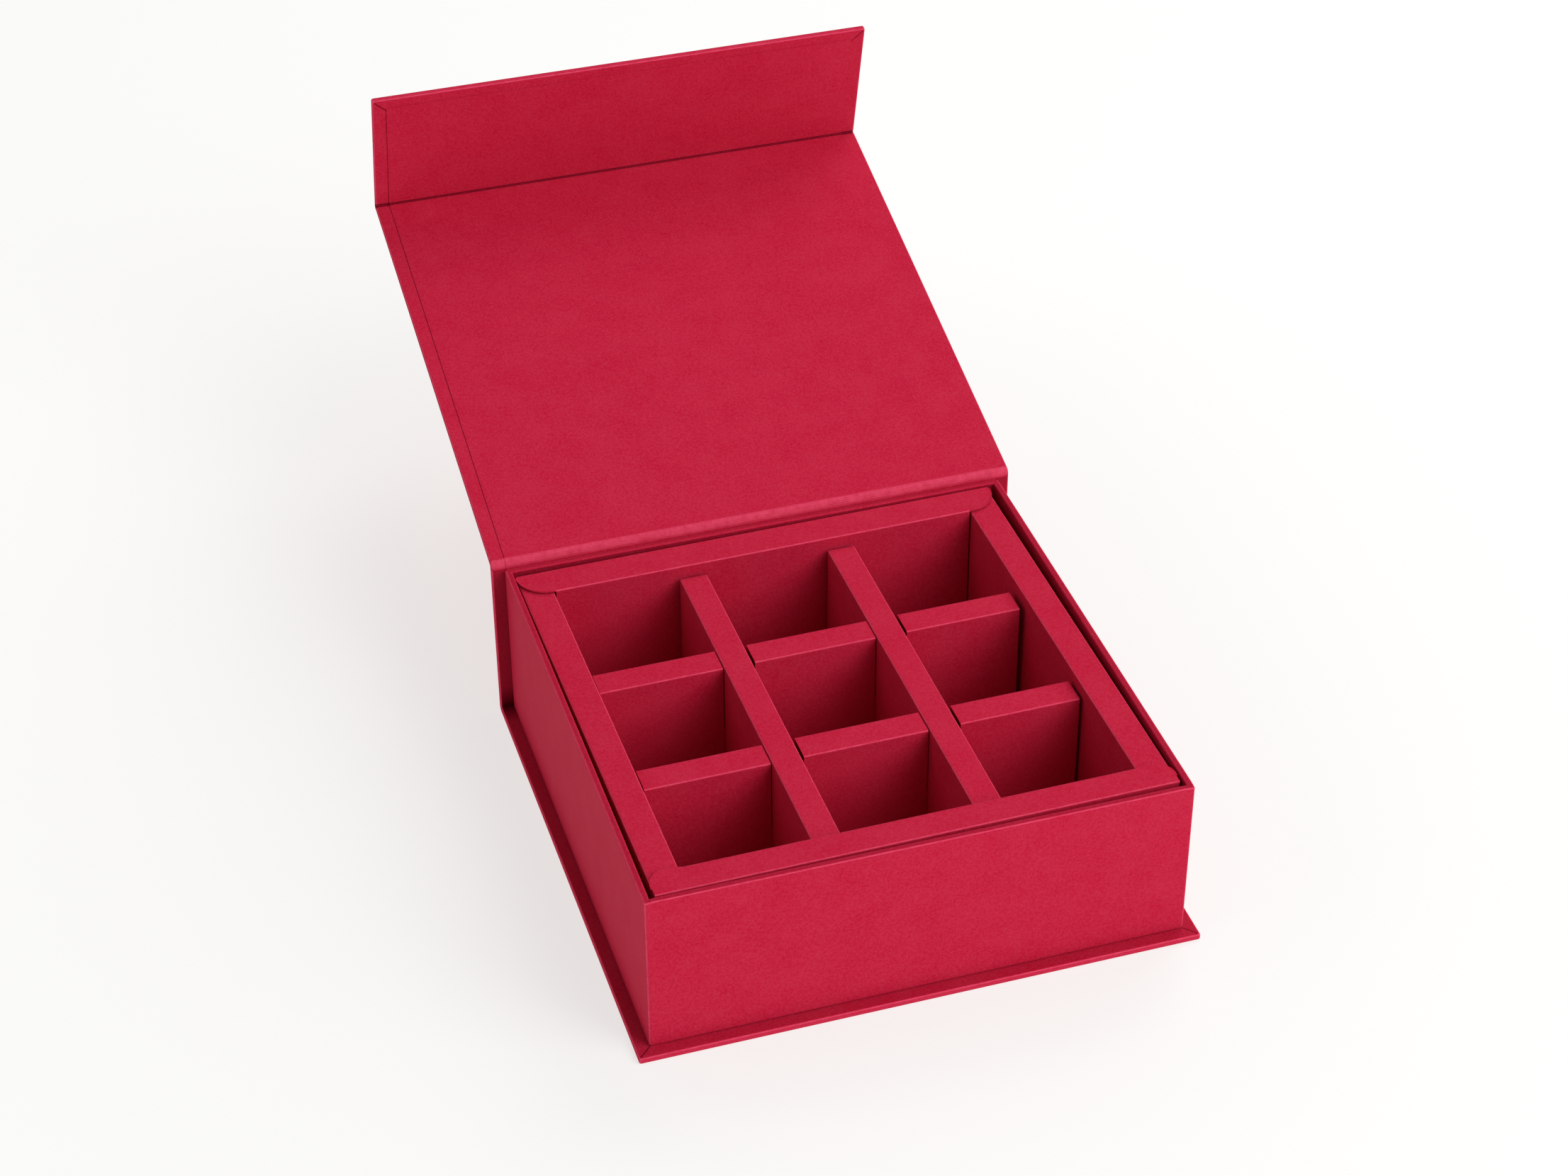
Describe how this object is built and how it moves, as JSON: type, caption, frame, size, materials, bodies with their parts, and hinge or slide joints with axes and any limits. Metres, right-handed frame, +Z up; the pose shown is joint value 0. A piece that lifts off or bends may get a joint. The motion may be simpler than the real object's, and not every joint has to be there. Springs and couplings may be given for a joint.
{
  "type": "compartment gift box",
  "caption": "Shallow square book-style gift box with a hinged lid, magnetic front flap and folded card insert that parts it into a grid of square cells.",
  "frame": {"origin": "underside of the base, under the middle of the tray", "axes": "+Z up, -Y towards the front where the flap closes, +X to the right seen from the front"},
  "size_m": [0.168, 0.3224, 0.1415],
  "materials": {
    "wrap_paper": "uncoated crimson paper, fine fibre mottling",
    "liner_paper": "uncoated crimson paper, fine fibre mottling",
    "insert_card": "uncoated crimson card, creased and folded",
    "greyboard": "plain greyboard",
    "magnet_steel": "plated, hidden"
  },
  "bodies": {
    "base": {"base_wrap": "wrap_paper", "spine_wrap": "wrap_paper", "lid_hinge_wrap": "wrap_paper", "tray_wrap": "wrap_paper", "spine_liner": "liner_paper", "lid_hinge_liner": "liner_paper", "tray_floor_lining": "liner_paper", "base_board": "greyboard", "spine_board": "greyboard", "tray_front_board": "greyboard", "tray_rear_board": "greyboard", "tray_left_board": "greyboard", "tray_right_board": "greyboard", "tray_floor_board": "greyboard", "keeper_left": "magnet_steel", "keeper_right": "magnet_steel"},
    "lid": {"lid_wrap": "wrap_paper", "lid_board": "greyboard", "lid_liner": "liner_paper", "flap_hinge_liner": "liner_paper", "flap_hinge_wrap": "wrap_paper"},
    "flap": {"flap_wrap": "wrap_paper", "flap_board": "greyboard", "flap_liner": "liner_paper", "flap_magnet_left": "magnet_steel", "flap_magnet_right": "magnet_steel"},
    "insert": {"insert_front_rail": "insert_card", "insert_rear_rail": "insert_card", "insert_left_rail": "insert_card", "insert_right_rail": "insert_card", "insert_floor": "insert_card", "long_divider_1": "insert_card", "long_divider_2": "insert_card", "cross_divider_1": "insert_card", "cross_divider_2": "insert_card"}
  },
  "joints": [
    {"name": "lid_hinge", "type": "hinge", "parent": "base", "child": "lid", "pos_m": [0, 0.0808, 0.0566], "axis": [1, 0, 0], "range_deg": [-14, 166], "deforming": ["lid_hinge_liner", "lid_hinge_wrap"]},
    {"name": "flap_hinge", "type": "hinge", "parent": "lid", "child": "flap", "pos_m": [0, 0.23775, 0.09573], "axis": [1, 0, 0], "range_deg": [-120, 0], "deforming": ["flap_hinge_liner", "flap_hinge_wrap"]},
    {"name": "insert_lift", "type": "slide", "parent": "base", "child": "insert", "axis": [0, 0, 1], "range_m": [0, 0.0005]}
  ]
}
